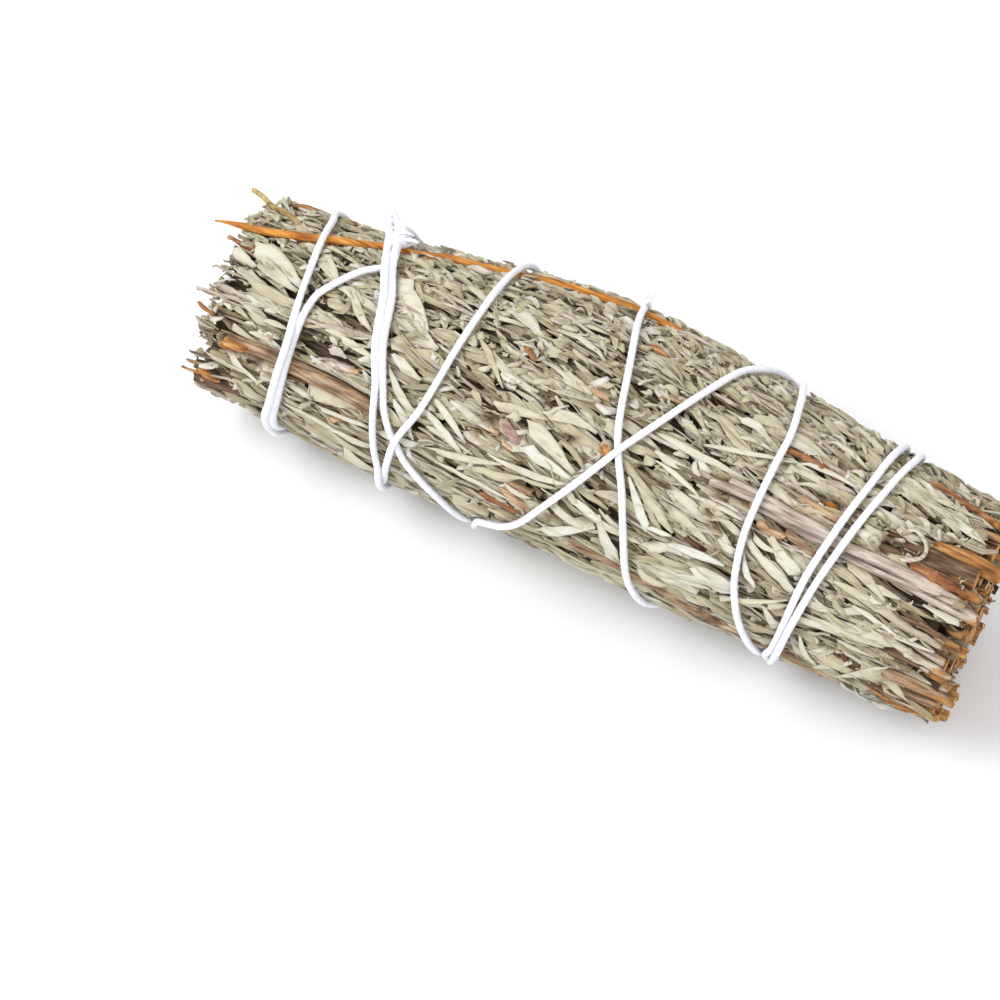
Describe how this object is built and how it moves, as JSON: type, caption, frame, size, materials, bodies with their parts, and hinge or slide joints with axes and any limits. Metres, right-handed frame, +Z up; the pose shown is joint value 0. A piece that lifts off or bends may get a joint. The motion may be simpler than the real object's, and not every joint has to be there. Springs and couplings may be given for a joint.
{
  "type": "dried sage bundle",
  "caption": "Spindle-shaped bundle of dried sage sprigs, leafy at one end and cut at the other, bound crosswise with one white cotton string; it lies flat and is burned as a smudge stick.",
  "frame": {"origin": "centre of the bundle's bounding box, on the surface that it lies on", "axes": "+X along the bundle from the leafy tips to the cut butts, +Z up from the surface it lies on, -Y towards the side that shows in front"},
  "size_m": [0.1094, 0.0356, 0.0339],
  "materials": {
    "leaf": "matte, felted, pale grey-green to cream dried leaf",
    "stem": "matte, ridged grey-brown dry bark",
    "split_wood": "matte, fibrous orange-brown split wood",
    "twig": "satin, smooth amber twig",
    "string": "matte, twisted white cotton yarn"
  },
  "bodies": {
    "root": {"leafy_sprig_01": "leaf", "leafy_sprig_02": "leaf", "leafy_sprig_03": "leaf", "leafy_sprig_04": "leaf", "leafy_sprig_05": "leaf", "leafy_sprig_06": "leaf", "leafy_sprig_07": "leaf", "leafy_sprig_08": "leaf", "leafy_sprig_09": "leaf", "leafy_sprig_10": "leaf", "inner_stem_01": "stem", "inner_stem_02": "stem", "inner_stem_03": "stem", "inner_stem_04": "stem", "inner_stem_05": "stem", "inner_stem_06": "stem", "inner_stem_07": "stem", "grey_stem": "stem", "brown_stem": "stem", "tip_stem": "stem", "edge_stem": "stem", "split_stick": "split_wood", "butt_stem_upper": "stem", "butt_stem_lower": "stem", "orange_twig": "twig", "gold_twig": "twig", "amber_strip": "twig", "string": "string"}
  },
  "joints": []
}
